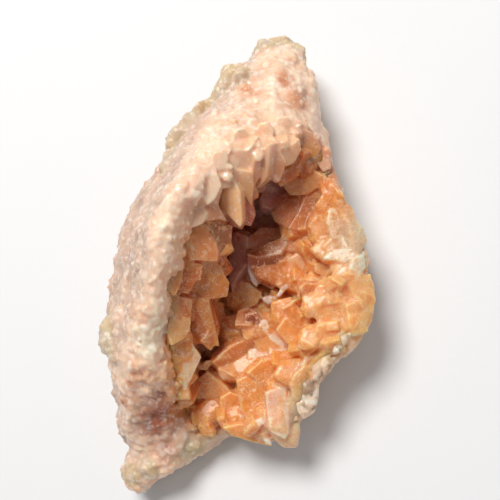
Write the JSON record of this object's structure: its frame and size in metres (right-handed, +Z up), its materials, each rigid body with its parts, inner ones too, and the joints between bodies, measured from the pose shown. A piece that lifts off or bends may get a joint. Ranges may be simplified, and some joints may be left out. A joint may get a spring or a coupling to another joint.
{
  "type": "geode specimen",
  "caption": "Broken piece of a geode: a thick arched wall of pale sugary stone around an open hollow lined with orange crystals.",
  "frame": {"origin": "middle of the underside of the specimen's box, on the surface it lies on", "axes": "+Y along the piece from its narrow foot to its peak, +X from the thick crest towards the open rim of the hollow, +Z up"},
  "size_m": [0.0376, 0.0688, 0.0273],
  "materials": {
    "geode_wall": "sugary, granular, satin",
    "crystal_crust": "glossy translucent crystal faces"
  },
  "bodies": {
    "root": {"geode_wall": "geode_wall", "crystal_crust": "crystal_crust"}
  },
  "joints": []
}
